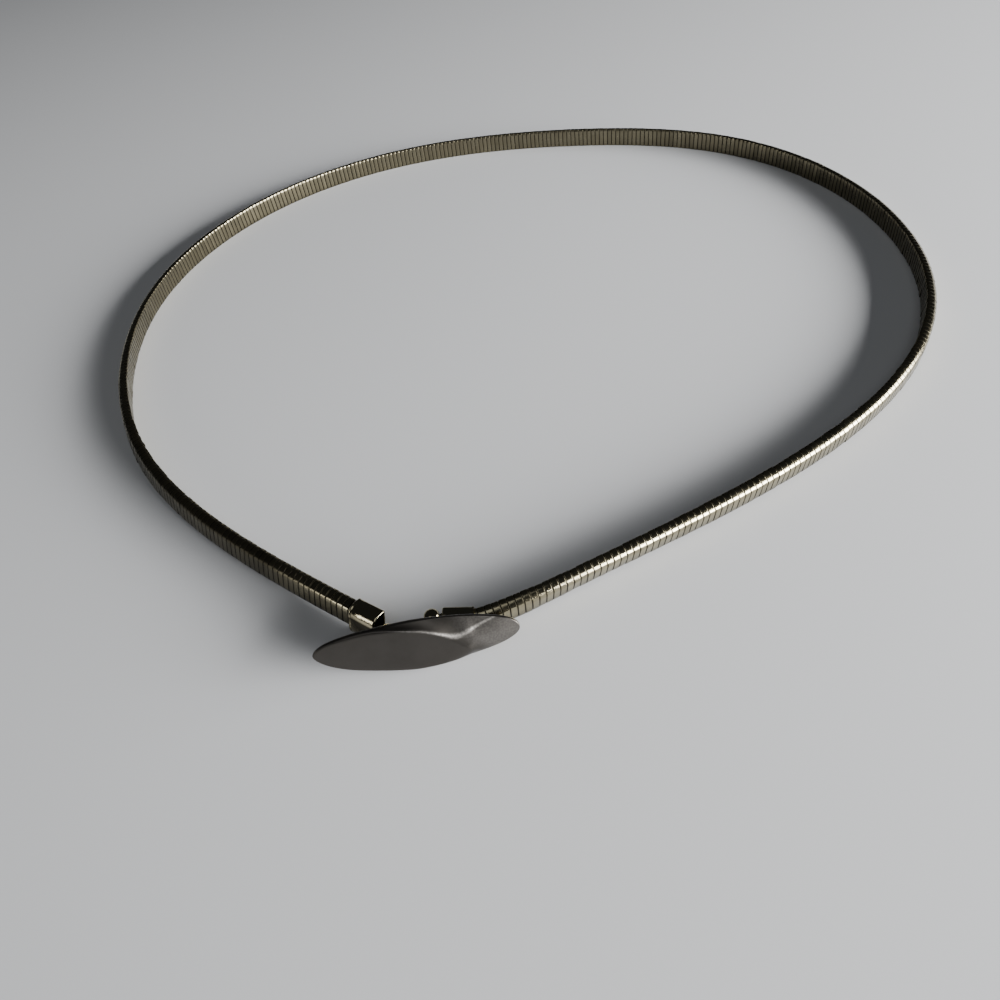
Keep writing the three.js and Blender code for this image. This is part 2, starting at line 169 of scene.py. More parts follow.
# %% The route table
ROUTE = np.array([
    # x, y, lean in degrees, lift
    (-44.3, -104.9, 18, 0.9), (-67.9, -84.9, 19, 0.1), (-87.7, -65.4, 18, 0),
    (-104.2, -43.1, 17, 0), (-114.5, -17.5, 12, 0), (-118.8, 10.3, 7, 0),
    (-116.9, 38.0, 4, 0), (-107.1, 63.9, 2, 0),
    (-89.9, 86.1, 0, 0), (-67.2, 102.3, 0, 0), (-41.0, 111.8, 0, 0), (-13.3, 114.5, 0, 0),
    (14.2, 111.4, 0, 0), (41.1, 104.2, 0, 0), (67.2, 93.9, 0, 0), (90.1, 78.4, 0, 0),
    (107.0, 56.4, 1, 0), (116.7, 30.2, 2, 0), (119.0, 2.3, 2, 0), (113.6, -25.2, 1, 0),
    (99.8, -49.3, -1, 0), (79.1, -68.0, -3, 0), (54.7, -81.5, -5, 0), (29.0, -91.8, -10, 0),
    (2.8, -100.6, -15, 0.1), (-11.0, -105.6, -10, 0.2), (-18.4, -107.5, -3, 0.2),
    (-22.8, -108.6, 0, 0.2), (-27.0, -107.8, 0, 0.2),
])


def on_route(u):
    """Rows of ROUTE blended at u, 0 to 1, by the uniform cubic B-spline weights (1-f)^3/6,
    (3f^3-6f^2+4)/6, (-3f^3+3f^2+3f+1)/6 and f^3/6. A mirrored row beyond each end makes the
    line start and stop on the first and the last row."""
    rows = np.vstack([2 * ROUTE[0] - ROUTE[1], ROUTE, 2 * ROUTE[-1] - ROUTE[-2]])
    last = len(ROUTE) - 1
    span = np.minimum(np.floor(u * last).astype(int), last - 1)
    f = (u * last - span)[:, None]
    weights = [(1 - f) ** 3, 3 * f**3 - 6 * f**2 + 4, -3 * f**3 + 3 * f**2 + 3 * f + 1, f**3]
    return sum(w * rows[span + k] for k, w in enumerate(weights)) / 6


FINE_STEPS = 20000
FINE_U = np.linspace(0, 1, FINE_STEPS + 1)
FINE_ROWS = on_route(FINE_U)
FINE_LENGTH = np.append(0, np.cumsum(np.hypot(*np.diff(FINE_ROWS[:, :2], axis=0).T)))
BAND_LENGTH = FINE_LENGTH[-1]
print("band length", round(BAND_LENGTH, 1), "mm")

# %% [markdown]
# ## The band's section
#
# The real band is a flat spring: a ribbon of plated metal wound in close turns. Cut across, it is
# 2.7 mm thick, flat inside and flat outside, with two slanted corners outside that catch the
# light. The section could be a rectangle with a Bevel modifier, but here it is one formula of
# the direction, so its roundness is a single number, and its few points gather where it turns.

# %% Band section
BAND_HEIGHT, BAND_THICK = 6.2, 2.7
SECTION_POINTS, SECTION_POWER = 20, 15
# Sides of the band's section: the way each faces in degrees, and its distance in mm.
BAND_SIDES = [(0, 1.35), (50, 2.45), (90, 3.1), (180, 1.35), (270, 3.1), (310, 2.45)]
FINE_ANGLES = 3601
BEND_WEIGHT = 1.1    # mm of outline that one radian of turning counts for


def smooth_polygon(sides, power, points):
    """Outline whose distance r in direction d is (sum of (n.d / c)^power)^(-1/power) over the
    sides with normal n and distance c: straight sides with round corners. The points sit closer
    together where the outline turns."""
    angle = np.linspace(0, 2 * np.pi, FINE_ANGLES)
    total = sum((np.maximum(np.cos(angle - np.radians(n)), 0) / c) ** power for n, c in sides)
    fine = np.stack([np.cos(angle), np.sin(angle)], axis=1) * (total ** (-1 / power))[:, None]
    step = np.diff(fine, axis=0)
    heading = np.unwrap(np.arctan2(step[:, 1], step[:, 0]))
    cost = np.hypot(*step.T) + BEND_WEIGHT * np.abs(np.append(0, np.diff(heading)))
    reach = np.append(0, np.cumsum(cost))
    at = np.linspace(0, reach[-1], points, endpoint=False)
    return np.interp(at, reach, fine[:, 0]), np.interp(at, reach, fine[:, 1])


SECTION_X, SECTION_Y = smooth_polygon(BAND_SIDES, SECTION_POWER, SECTION_POINTS)
print("section", round(np.ptp(SECTION_X), 2), "x", round(np.ptp(SECTION_Y), 2), "mm")

# %% [markdown]
# ## How the band stands
#
# The band is not quite upright: left of the buckle its outer face turns up by some 18 degrees,
# and right of it down by about 15. So each place along the route needs its own across and up
# directions. A bevelled Curve object could tilt too, but it can't have turns, so the directions
# are worked out here and the turns are set on them.

# %% Places along the band
TANGENT_STEP = 1e-4    # how far to look ahead and behind, as a share of the route


def band_places(lengths):
    """Centre, across and up directions of the band at each length. Across points outwards and
    turns up by the lean, and the centre is high enough for the lowest corner to touch."""
    u = np.interp(lengths, FINE_LENGTH, FINE_U)
    rows = on_route(u)
    ahead = on_route(np.minimum(u + TANGENT_STEP, 1))
    behind = on_route(np.maximum(u - TANGENT_STEP, 0))
    tangent = (ahead - behind)[:, :2]
    tangent /= np.linalg.norm(tangent, axis=1, keepdims=True)
    outward = np.stack([-tangent[:, 1], tangent[:, 0], np.zeros(len(u))], axis=1)
    lean = np.radians(rows[:, 2])[:, None]
    across = np.cos(lean) * outward + np.sin(lean) * UP
    up = np.cos(lean) * UP - np.sin(lean) * outward
    lift = np.maximum(rows[:, 3:4], 0)
    z = lift + BAND_HEIGHT / 2 * np.cos(lean) + BAND_THICK / 2 * np.abs(np.sin(lean))
    return np.hstack([rows[:, :2], z]), across, up


band_ends = band_places(np.array([0.0, BAND_LENGTH]))[0]
print("band from", band_ends[0].round(1), "to", band_ends[1].round(1))

# %% [markdown]
# ## The coil band
#
# The turns are flat with narrow dark seams between them. An Array modifier could repeat one turn,
# but then all would be alike. On the real band each turn sits a little askew and so catches the
# light by itself, and each has its own tone. So one turn is a row of five sections that dip at
# the seam, and the row repeats 435 times with a little chance in each. Shade is painted on the
# outer face towards its lower edge, and a dark reflection on the stretch left of the buckle; both
# are kept on the points together with the dark seams.

# %% Coil band
TURN_PITCH = INCH / 16
TURNS = int(BAND_LENGTH // TURN_PITCH)
SWAGE_REACH, SWAGE_SCALE = 4.5, 0.84    # the band is squeezed where it sits in a cap
# Rows of one turn: its phase, how deep it lies outside and inside in mm, and how dark it is
# outside and inside.
TURN = np.array([
    (0.00, 0.11, 0.16, 1.0, 1.0), (0.06, 0.0, 0.05, 0.95, 1.0), (0.14, 0.0, 0.01, 0.0, 0.5),
    (0.86, 0.0, 0.01, 0.0, 0.5), (0.94, 0.0, 0.05, 0.95, 1.0),
])
CHANCE_SEED = 7
SKEW = 0.018    # usual slant of a turn, in radians
SEAM_ANGLE = 47.0    # the walls of the seams are steeper and stay crisp, the corners are not
INNER_FROM, INNER_FADE = 0.9, 0.35    # mm behind the middle where the inner side begins
LOW_EDGE_SHADE, LOW_EDGE_SHADE_TOP, LOW_EDGE_SHADE_FADE = 0.65, 0.6, 2.8    # painted shade along the lower edge, heights in mm
# Painted dark reflection left of the buckle: mm from the left cap, and how strong.
LEFT_STRETCH_DARK_REFLECTION = np.array([(0, 0.0), (12, 0.3), (30, 0.8), (90, 0.7), (120, 0.0)])


def band_seams_and_shade(lengths, inside, outer_seam, inner_seam):
    """The largest of the seam's own darkness, a painted shade along the lower edge, strength *
    (top - y) / fade cut to 0..1, and the painted dark reflection at that length. The last two are
    on the outer side alone."""
    # Painted shade: the outer face darkens towards its lower edge, where it meets the floor.
    low_edge_shade = LOW_EDGE_SHADE * np.clip((LOW_EDGE_SHADE_TOP - SECTION_Y) / LOW_EDGE_SHADE_FADE, 0, 1) * (1 - inside)
    # Painted dark reflection on the outer face of the stretch left of the buckle.
    left_stretch_dark_reflection = np.interp(lengths, LEFT_STRETCH_DARK_REFLECTION[:, 0], LEFT_STRETCH_DARK_REFLECTION[:, 1])[:, None]
    painted_darkening = np.maximum(low_edge_shade, left_stretch_dark_reflection * (1 - inside))
    return np.maximum(outer_seam * (1 - inside) + inner_seam * inside, painted_darkening)


def make_coil_band():
    """The section at each row of each turn. It shrinks by 1 - depth / half its size, and a skew s
    moves a point (x, y) to (x + s y, y - s x)."""
    phase = (np.arange(TURNS)[:, None] + TURN[:, 0][None, :]).reshape(-1)
    lengths = phase * (BAND_LENGTH / TURNS)
    chance = np.random.default_rng(CHANCE_SEED)
    tone = np.repeat(chance.normal(0, 1, TURNS), len(TURN))
    skew = np.repeat(chance.normal(0, SKEW, TURNS), len(TURN))[:, None]
    centre, across, up = band_places(lengths)
    from_end = np.minimum(lengths, BAND_LENGTH - lengths)
    swage = np.where(from_end < SWAGE_REACH, SWAGE_SCALE, 1.0)[:, None]
    inside = np.clip(-(SECTION_X + INNER_FROM) / INNER_FADE, 0, 1)
    rows = np.tile(TURN[:, 1:], (TURNS, 1)).T[..., None]
    outer_depth, inner_depth, outer_seam, inner_seam = rows
    depth = outer_depth * (1 - inside) + inner_depth * inside
    x = swage * (1 - depth / (BAND_THICK / 2)) * SECTION_X
    y = swage * (1 - depth / (BAND_HEIGHT / 2)) * SECTION_Y
    rings = (centre[:, None, :] + (x + skew * y)[..., None] * across[:, None, :]
             + (y - skew * x)[..., None] * up[:, None, :])
    values = {"grime_and_shade": band_seams_and_shade(lengths, inside, outer_seam, inner_seam),
              "turn_tone": tone[:, None] * np.ones(SECTION_POINTS)}
    return loft("coil_turns", rings, sharp=SEAM_ANGLE, point_values=values)


coil_turns = make_coil_band()
print(TURNS, "turns of", round(BAND_LENGTH / TURNS, 3), "mm")

# %% [markdown]
# ## The end caps
#
# Each end of the band is crimped into a polished cap: a short tube with a flat inner side, round
# outer shoulders, a fine bead at the mouth and insides painted dark as shade. A block could be
# hollowed with a Boolean modifier, but its edges would stay hard. Here one outline is carried
# along the cap, and each row says how far along it is and how far the outline shrinks, so the
# lips, the walls and the insides are one skin. The left cap's outer side has a painted dark
# reflection, kept on the points with the dark insides.

# %% Caps
# The last number of each cap says how strong the painted dark reflection on its outer side is.
CAP_LEFT = dict(x=-47.5, y=-102.6, heading=-39, lean=18, side=1,
                length=6.6, height=7.6, thick=3.8, corner=0.5, shoulder=2.2, painted_darkening=0.9)
CAP_RIGHT = dict(x=-23.0, y=-108.3, heading=170, lean=0, side=-1,
                 length=6.4, height=6.6, thick=3.3, corner=0.4, shoulder=1.8, painted_darkening=0.0)
CAP_WALL = 0.4
CAP_MOUTH_DEPTH, CAP_END_DEPTH = 4.5, 1.7
SHOULDER_RISE = 1.2    # a shoulder's height over its width
# The painted dark reflection on the left cap's outer side: where its lower line starts, its slant
# and its fade, then its top and its fade.
DARK_REFLECTION_LOW, DARK_REFLECTION_SLANT, DARK_REFLECTION_LOW_FADE, DARK_REFLECTION_TOP, DARK_REFLECTION_TOP_FADE = 1.0, 0.8, 1.2, 1.6, 0.5
CAP_SHARP = 40.0


def ease(f):
    """0 below 0, 1 above 1 and f*f*(3 - 2f) between."""
    f = np.clip(f, 0, 1)
    return f * f * (3 - 2 * f)


def arc(x, y, rx, ry, start, stop, points):
    """Points of an ellipse's arc between two angles in degrees."""
    a = np.radians(np.linspace(start, stop, points))
    return np.stack([x + rx * np.cos(a), y + ry * np.sin(a)], axis=1)


def cap_outline(cap, shrink):
    """The cap's section moved in by shrink: a flat inner side with small corners, and an outer
    side whose shoulders are quarter ellipses."""
    t, h = cap["thick"] / 2 - shrink, cap["height"] / 2 - shrink
    r, s = max(cap["corner"] - shrink, 0.05), max(cap["shoulder"] - shrink, 0.1)
    rise = SHOULDER_RISE * s
    return np.vstack([arc(t - s, -h + rise, s, rise, -90, 0, 12),
                      arc(t - s, h - rise, s, rise, 0, 90, 12),
                      arc(-t + r, h - r, r, r, 90, 180, 6),
                      arc(-t + r, -h + r, r, r, 180, 270, 6)])


def cap_painted_reflection(outline, distance):
    """The painted dark reflection between two soft lines on the outer side: ease((y + low + slant
    * distance) / fade) times ease((top - y) / fade)."""
    y = outline[:, 1]
    low = ease((y + DARK_REFLECTION_LOW + DARK_REFLECTION_SLANT * distance) / DARK_REFLECTION_LOW_FADE)
    return low * ease((DARK_REFLECTION_TOP - y) / DARK_REFLECTION_TOP_FADE) * (outline[:, 0] > 0)


def cap_axes(cap):
    """Start, along, across and up of a cap. Across leans up by the cap's lean."""
    heading, lean = np.radians(cap["heading"]), np.radians(cap["lean"])
    along = np.array([np.cos(heading), np.sin(heading), 0])
    outward = cap["side"] * np.array([np.sin(heading), -np.cos(heading), 0])
    across = np.cos(lean) * outward + np.sin(lean) * UP
    up = np.cos(lean) * UP - np.sin(lean) * outward
    z = cap["height"] / 2 * np.cos(lean) + cap["thick"] / 2 * abs(np.sin(lean))
    return np.array([cap["x"], cap["y"], z]), along, across, up


def make_cap(name, cap):
    """The cap's rings, from inside its mouth over the lip, along the outside and back in."""
    length = cap["length"]
    # Rows of distance along the cap and how far the outline shrinks, in mm.
    rows = [(CAP_MOUTH_DEPTH, CAP_WALL + 0.3), (CAP_MOUTH_DEPTH, CAP_WALL), (0.25, CAP_WALL),
            (0.05, 0.3), (0.0, 0.15), (0.03, 0.02), (0.14, -0.06), (0.32, -0.06), (0.46, 0.0),
            (0.54, 0.05), (0.66, 0.0), (length / 2, 0.0), (length - 0.5, 0.0),
            (length - 0.3, 0.0), (length - 0.1, 0.04), (length, 0.16), (length - 0.03, 0.3),
            (length - 0.2, CAP_WALL), (length - CAP_END_DEPTH, CAP_WALL + 0.1),
            (length - CAP_END_DEPTH, CAP_WALL + 0.4)]
    start, along, across, up = cap_axes(cap)
    rings, grime_and_shade = [], []
    for distance, shrink in rows:
        outline = cap_outline(cap, shrink)
        rings.append(start + distance * along + outline[:, :1] * across + outline[:, 1:] * up)
        # Painted dark reflection on the cap's outer side: its strength times its patch.
        grime_and_shade.append(cap["painted_darkening"] * cap_painted_reflection(outline, distance))
    rings, grime_and_shade = np.array(rings), np.array(grime_and_shade)
    # Painted shade: the first and last three rings lie inside the cap and are set full dark.
    grime_and_shade[:3] = grime_and_shade[-3:] = 1.0
    return loft(name, rings, sharp=CAP_SHARP, point_values={"grime_and_shade": grime_and_shade})


cap_left = make_cap("cap_left", CAP_LEFT)
cap_right = make_cap("cap_right", CAP_RIGHT)

# %% [markdown]
# ## The buckle leaf
#
# The plate is a cast leaf about 41 mm long that leans back and hides the fastening. Its outline
# is an oval whose right tip is blunter than its left, and an S-shaped crease runs along it. It
# could be sculpted, but an oval by formula and a short table for the crease can each be set
# against the photograph by one number at a time.

# %% Leaf outline and crease
LEAF_CENTRE = np.array([-34.8, -112.2, 5.5])
LEAF_LEAN = np.radians(22)
HALF_LENGTH, HALF_HEIGHT = 20.4, 5.4
POWER_LEFT, POWER_RIGHT = 1.9, 2.15
TIP_RISE, SLIM = 1.0, 0.1
TIP_BEND = 2.5    # power of the middle line's rise towards the left tip
CREASE_SOFTNESS = 0.9    # the crease is averaged this many mm to each side
CREASE = np.array([(-9.5, 5.0), (-4.7, 4.7), (-1.7, 4.4), (1.2, 3.9), (3.4, 3.1), (5.1, 2.3),
                   (6.5, 1.6), (8.0, 1.1), (9.2, 1.3), (10.8, 1.8), (13.0, 2.5), (15.2, 3.1),
                   (17.1, 3.7)])


def leaf_middle(u):
    """The leaf's middle line: straight, and turned up towards the left tip."""
    return TIP_RISE * np.maximum(-u / HALF_LENGTH, 0) ** TIP_BEND


def leaf_leanness(u):
    """1 in the left half, falling evenly to 1 - SLIM at the right tip."""
    return 1 - SLIM * np.maximum(u / HALF_LENGTH, 0)


def leaf_half(u):
    """Half the leaf's height at u, from |u/L|^p + |v/H|^p = 1, a little slimmer to the right,
    where p is also larger and the tip blunter."""
    power = np.where(u > 0, POWER_RIGHT, POWER_LEFT)
    inside = np.maximum(1 - np.abs(u / HALF_LENGTH) ** power, 0)
    return HALF_HEIGHT * inside ** (1 / power) * leaf_leanness(u)


def crease_height(u):
    """Height of the crease at u: the mean of the straight lines between the rows of CREASE over
    a short stretch, which rounds their corners."""
    near = np.linspace(-CREASE_SOFTNESS, CREASE_SOFTNESS, 9)
    return np.mean([np.interp(u + du, CREASE[:, 0], CREASE[:, 1]) for du in near], axis=0)


lowest = crease_height(CREASE[:, 0]).min()
print("leaf", 2 * HALF_LENGTH, "mm long, crease down to", round(lowest, 2), "mm")

# %% [markdown]
# ## The leaf's relief
#
# Below the crease the leaf is one smooth dome, thin and flat in its left lobe and rounder to the
# right. Above the crease the metal is scooped into a shallow bay, and the crease stands between
# them as a soft ridge. Bevelled edges would need extra loops along it. A height worked out for
# all points at once doesn't: a smooth minimum of dome and bay rounds the ridge by itself.

# %% Leaf height
DOME, EDGE, BACK = 1.7, 0.35, 0.4
BAY_HOLLOW = 0.12
FOLD_U, FOLD_V, FOLD_SLANT = 6.0, 1.2, 1.28    # the fold runs down from here, at this slant
FOLD_MIN, FOLD_MAX = 4, 12
TIP_FROM = 8    # mm left of the middle where the left tip bends down
FLAT_POWER, ROUND_POWER, ROUND_FROM, ROUND_OVER = 24, 2, 2, 10    # flat left, round right
LOW_LOSS, LOW_FROM, LOW_OVER = 0.72, 1, 12    # how far the left lobe sinks, and where
RIDGE_SOFT, RIDGE_SOFTER, RIDGE_FROM, RIDGE_OVER = 0.05, 0.12, 4, 6    # roundness of the ridge


def leaf_dome(u, v):
    """The leaf without its bay: flat in the middle of the left lobe, where the height falls as
    1 - side^24, and rounder to the right, 1 - side^2. Along the leaf it falls evenly to the
    right tip from a fold that runs down from the crease's lowest point. To the left it sinks to
    about a quarter of its height and then bends to the tip."""
    half = np.maximum(leaf_half(u), 1e-6)
    side = np.minimum(np.abs(v - leaf_middle(u)) / half, 1)
    fold = np.clip(FOLD_U - FOLD_SLANT * (v - FOLD_V), FOLD_MIN, FOLD_MAX)
    right = np.clip((HALF_LENGTH - u) / (HALF_LENGTH - fold), 0, 1)
    left = np.clip((-u - TIP_FROM) / (HALF_LENGTH - TIP_FROM), 0, 1) ** 2
    roundness = FLAT_POWER - (FLAT_POWER - ROUND_POWER) * ease((u - ROUND_FROM) / ROUND_OVER)
    low = 1 - LOW_LOSS * ease((LOW_FROM - u) / LOW_OVER)
    return DOME * (1 - side**roundness) * right * (1 - left) * low


def leaf_front(u, v):
    """Height of the front: edge + dome below the crease. Above it the surface falls from the
    crease's own height to the top edge in a nearly straight line, a little hollow. The two are
    joined by a smooth minimum, so the crest is round."""
    top = leaf_middle(u) + leaf_half(u)
    crease = np.minimum(crease_height(u), top - 0.05)
    above = np.clip((v - crease) / (top - crease), -1e3, 1)
    hollow = BAY_HOLLOW * np.clip(top - crease, 0, 1) * np.sin(np.pi * np.clip(above, 0, 1))
    slope = leaf_dome(u, crease) * (1 - above) - hollow
    dome = leaf_dome(u, v)
    soft = RIDGE_SOFT + RIDGE_SOFTER * ease((u - RIDGE_FROM) / RIDGE_OVER)
    apart = np.maximum(soft - np.abs(dome - slope), 0) / soft
    return EDGE + np.maximum(np.minimum(dome, slope) - soft * apart**2 / 4, 0.0)


print("dome height at the middle", round(float(leaf_front(0.0, 0.0)), 2), "mm")

# %% [markdown]
# ## The painted highlight on the leaf
#
# A highlight is painted along the crest, strongest where it is lowest, and faint painted light
# on the right part. It could be painted on an image, but the distance to the crease says where
# it belongs. It is kept on the mesh's points, where the material reads it.

# %% Painted highlight places
# Along the crease: place, how bright the painted highlight is there, and how wide, in mm.
CREST_HIGHLIGHT = np.array([(-10.0, 0.0, 0.1), (-4.0, 0.1, 0.12), (1.0, 0.5, 0.15), (5.0, 0.85, 0.22),
                (8.0, 1.0, 0.45), (10.5, 1.0, 0.45), (13.0, 0.9, 0.28), (17.5, 0.7, 0.18)])
# Faint painted light all over the part right of the fold, and the mm over which it comes in.
FAINT_PAINTED_LIGHT, FAINT_OVER = 0.15, 5


def leaf_painted_highlight(u, v):
    """The painted highlight along the crest, strength times e^-(distance / width)^2, and faint
    painted light all over the part right of the fold."""
    strength = np.interp(u, CREST_HIGHLIGHT[:, 0], CREST_HIGHLIGHT[:, 1])
    width = np.interp(u, CREST_HIGHLIGHT[:, 0], CREST_HIGHLIGHT[:, 2])
    crest = strength * np.exp(-((v - crease_height(u)) / width) ** 2)
    past_fold = u - FOLD_U - FOLD_SLANT * np.maximum(FOLD_V - v, 0)
    return np.maximum(crest, FAINT_PAINTED_LIGHT * ease(past_fold / FAINT_OVER))


print("strongest rub", CREST_HIGHLIGHT[:, 1].max(), "over", CREST_HIGHLIGHT[:, 2].max(), "mm")

# %% [markdown]
# ## The leaf's mesh
#
# A flat grid would leave a stepped rim. Rays from the middle, scaled up ring by ring, follow the
# oval instead, and the same rings go on round the rim to the flat back as one closed skin.

# %% Leaf mesh
LEAF_RAYS, LEAF_RINGS = 256, 70
LEAF_SHARP = 50.0
# Rows of the rim: scale of the outline, and height in mm.
RIM = [(0.995, 0.33), (1.0, 0.24), (1.0, -0.2), (0.995, -0.34), (0.98, -0.4)]
BACK_SCALES = (0.9, 0.6, 0.3, 0.05)


def leaf_to_world(u, v, w):
    """The plate's own directions in the room: u along, v up the leaning plate, w outwards."""
    x = LEAF_CENTRE[0] + u
    y = LEAF_CENTRE[1] + v * np.sin(LEAF_LEAN) - w * np.cos(LEAF_LEAN)
    z = LEAF_CENTRE[2] + v * np.cos(LEAF_LEAN) + w * np.sin(LEAF_LEAN)
    return np.stack(np.broadcast_arrays(x, y, z), axis=-1)


def make_leaf():
    """Rings of the oval (L |cos a|^(2/p), H |sin a|^(2/p)), scaled from the middle to the rim
    and back along the flat back."""
    angle = np.linspace(0, 2 * np.pi, LEAF_RAYS, endpoint=False)
    c, s = np.cos(angle), np.sin(angle)
    power = 2 / np.where(c > 0, POWER_RIGHT, POWER_LEFT)
    ray_u = HALF_LENGTH * np.sign(c) * np.abs(c) ** power
    ray_v = HALF_HEIGHT * np.sign(s) * np.abs(s) ** power

    def spot(scale):
        u = scale * ray_u
        return u, scale * ray_v * leaf_leanness(u) + leaf_middle(u)

    def ring(scale, w=None):
        u, v = spot(scale)
        return leaf_to_world(u, v, leaf_front(u, v) if w is None else w)

    front_scales = np.linspace(0.02, 0.985, LEAF_RINGS)
    front = [ring(scale) for scale in front_scales]
    edge = [ring(scale, w) for scale, w in RIM]
    back = [ring(scale, -BACK) for scale in BACK_SCALES]
    rings = np.array(front + edge + back)
    # The painted highlight is kept on the front rings only.
    painted_highlight = np.zeros(rings.shape[:2])
    painted_highlight[:LEAF_RINGS] = [leaf_painted_highlight(*spot(scale)) for scale in front_scales]
    return loft("buckle_leaf", rings, sharp=LEAF_SHARP, point_values={"painted_highlight": painted_highlight})


buckle_leaf = make_leaf()

# %% [markdown]
# ## Behind the leaf
#
# Two tabs behind the leaf hold a pin, and the right cap's lug swings on it. They can't be seen
# from the front, so they are finished plainly. Each is a flat eye, a circle that widens into an
# arm on one side. A disc and a block could be joined with a Boolean modifier, but a keyhole
# outline carried round its hole makes the eye, its arm and its small bevels in one closed loop.

# %% Tabs and lug
FITTING_SHARP = 40.0
PIN = dict(x=-31.2, y=-108.0, radius=0.7, head=1.55, dome=1.0, foot=1.2)
LUG_BOTTOM, LUG_TOP, LUG_RADIUS, LUG_HALF = 2.6, 6.3, 1.7, 0.8
GAP, TAB_THICK, TAB_WIDTH = 0.3, 0.8, 3.0
TAB_SINK, LUG_SINK = 0.3, 1.2    # how far an arm runs into what carries it
EYE_BEVEL, EYE_POINTS = 0.12, 96


def keyhole(name, radius, half_width, reach, direction, bottom, top, hole):
    """A flat eye round the pin. Its outline in polar form is the larger of the eye's radius and
    the arm, half_width / |sin a| cut off at reach / cos a, where a is measured from the arm."""
    a = np.linspace(-np.pi, np.pi, EYE_POINTS, endpoint=False)
    with np.errstate(divide="ignore"):
        arm = np.minimum(half_width / np.abs(np.sin(a)), reach / np.maximum(np.cos(a), 1e-6))
    outer = np.maximum(radius, np.where(np.cos(a) > 0, arm, 0))
    soft = EYE_BEVEL
    profile = [(outer - soft, top), (outer, top - soft), (outer, bottom + soft),
               (outer - soft, bottom), (hole + soft + 0 * outer, bottom),
               (hole + 0 * outer, bottom + soft), (hole + 0 * outer, top - soft),
               (hole + soft + 0 * outer, top)]
    turned = a + direction
    rings = [np.stack([PIN["x"] + r * np.cos(turned), PIN["y"] + r * np.sin(turned),
                       np.full(len(a), z)], axis=1) for r, z in profile]
    return loft(name, np.array(rings), ends="loop", sharp=FITTING_SHARP)


def leaf_back_y(z):
    """Y of the leaf's back at height z."""
    return LEAF_CENTRE[1] + (z - LEAF_CENTRE[2]) * np.tan(LEAF_LEAN) + BACK / np.cos(LEAF_LEAN)


hole = PIN["radius"] + GAP
tab_levels = {"tab_lower": LUG_BOTTOM - GAP - TAB_THICK, "tab_upper": LUG_TOP + GAP}
tabs = [keyhole(name, TAB_WIDTH / 2, TAB_WIDTH / 2, PIN["y"] - leaf_back_y(level) + TAB_SINK,
                -np.pi / 2, level, level + TAB_THICK, hole) for name, level in tab_levels.items()]

cap_start, cap_along, _, _ = cap_axes(CAP_RIGHT)
lug_root = cap_start + cap_along * (CAP_RIGHT["length"] - LUG_SINK)
lug_way = lug_root[:2] - np.array([PIN["x"], PIN["y"]])
lug = keyhole("cap_right_lug", LUG_RADIUS, LUG_HALF, np.hypot(*lug_way),
              np.arctan2(lug_way[1], lug_way[0]), LUG_BOTTOM, LUG_TOP, hole)

# %% [markdown]
# ## The keeper bar
#
# A round bar, bent like a C and soldered to the leaf's back, catches the hook of the left cap. A
# Curve object with a round bevel would do for it, but not for the hook, which is a flat strip on
# edge. One sweep serves both: the path's corners are rounded, and a section is carried along it.

# %% Keeper bar
KEEPER = dict(x=-37.2, y=-108.9, radius=0.55, low=2.25, high=7.55)
KEEPER_SINK, KEEPER_BEND = 0.2, 0.8


def sweep(name, path, section, side):
    """Carries a section, columns (across, upward), along a path. Upward is side, and across is
    side crossed with the path's direction, which turns with it."""
    ahead = np.gradient(path, axis=0)
    ahead /= np.linalg.norm(ahead, axis=1, keepdims=True)
    across = np.cross(np.broadcast_to(side, path.shape), ahead)
    across /= np.linalg.norm(across, axis=1, keepdims=True)
    rings = (path[:, None, :] + section[None, :, :1] * across[:, None, :]
             + section[None, :, 1:] * np.asarray(side)[None, None, :])
    return loft(name, rings, sharp=FITTING_SHARP)


def rounded_corners(points, radius, steps=7):
    """A path through points whose inner corners are rounded: each becomes a quadratic curve
    between the two places that lie radius before and after it."""
    points = np.asarray(points, float)
    path = [points[:1]]
    f = np.linspace(0, 1, steps)[:, None]
    for before, corner, after in zip(points, points[1:], points[2:]):
        a = corner + (before - corner) / np.linalg.norm(before - corner) * radius
        b = corner + (after - corner) / np.linalg.norm(after - corner) * radius
        path.append((1 - f) ** 2 * a + 2 * f * (1 - f) * corner + f**2 * b)
    path.append(points[-1:])
    return np.vstack(path)


k = KEEPER
keeper_points = [(k["x"], leaf_back_y(k["low"]) - KEEPER_SINK, k["low"]),
                 (k["x"], k["y"], k["low"]), (k["x"], k["y"], k["high"]),
                 (k["x"], leaf_back_y(k["high"]) - KEEPER_SINK, k["high"])]
keeper_bar = sweep("keeper_bar", rounded_corners(keeper_points, KEEPER_BEND),
                   arc(0, 0, k["radius"], k["radius"], 0, 345, 24), (1.0, 0.0, 0.0))

# %% [markdown]
# ## The hook
#
# The hook is a strip on edge that leaves the left cap, runs past the keeper bar and turns back
# round it. A bent plane with a Solidify modifier could show it too, but its edges would stay
# square. Here its path, seen from above, is two straight runs and an arc round the bar, and the
# sweep carries a section with round corners along it.

# %% Hook
HOOK_THICK, HOOK_HEIGHT, HOOK_BOTTOM = 0.8, 3.0, 3.0
HOOK_ROOT, HOOK_LEAVE = 1.3, 0.6    # mm inside the cap where it starts, and outside where it bends
HOOK_CORNER, HOOK_BEND = 0.22, 0.6
HOOK_PLAY = 0.05


